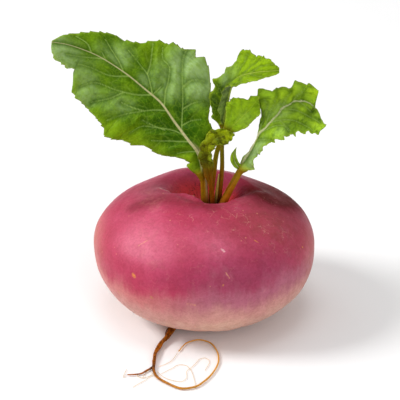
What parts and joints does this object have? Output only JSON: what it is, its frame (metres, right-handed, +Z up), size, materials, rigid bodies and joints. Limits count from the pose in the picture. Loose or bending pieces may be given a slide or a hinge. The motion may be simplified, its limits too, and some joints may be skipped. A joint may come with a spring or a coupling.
{
  "type": "turnip",
  "caption": "Squat purple-topped turnip with a looped taproot and a rosette of young stalked leaves growing from its crown.",
  "frame": {"origin": "middle of the small flat spot under the bulb that the turnip rests on", "axes": "+Z up out of the resting spot, -Y towards the side that the taproot curls out on, -X towards the side that the large leaf leans to"},
  "size_m": [0.1048, 0.1108, 0.1092],
  "materials": {
    "skin": "smooth waxy skin",
    "bark": "matte woody",
    "green_large": "satin leaf",
    "green_tall": "satin leaf",
    "green_right": "satin leaf",
    "green_small": "satin leaf",
    "green_young": "satin leaf",
    "green_bud": "satin leaf",
    "green_spike": "satin leaf"
  },
  "bodies": {
    "root": {"bulb": "skin", "taproot": "bark", "leaf_large": "green_large", "leaf_tall": "green_tall", "leaf_right": "green_right", "leaf_small": "green_small", "leaf_young": "green_young", "leaf_bud": "green_bud", "leaf_spike": "green_spike"}
  },
  "joints": []
}
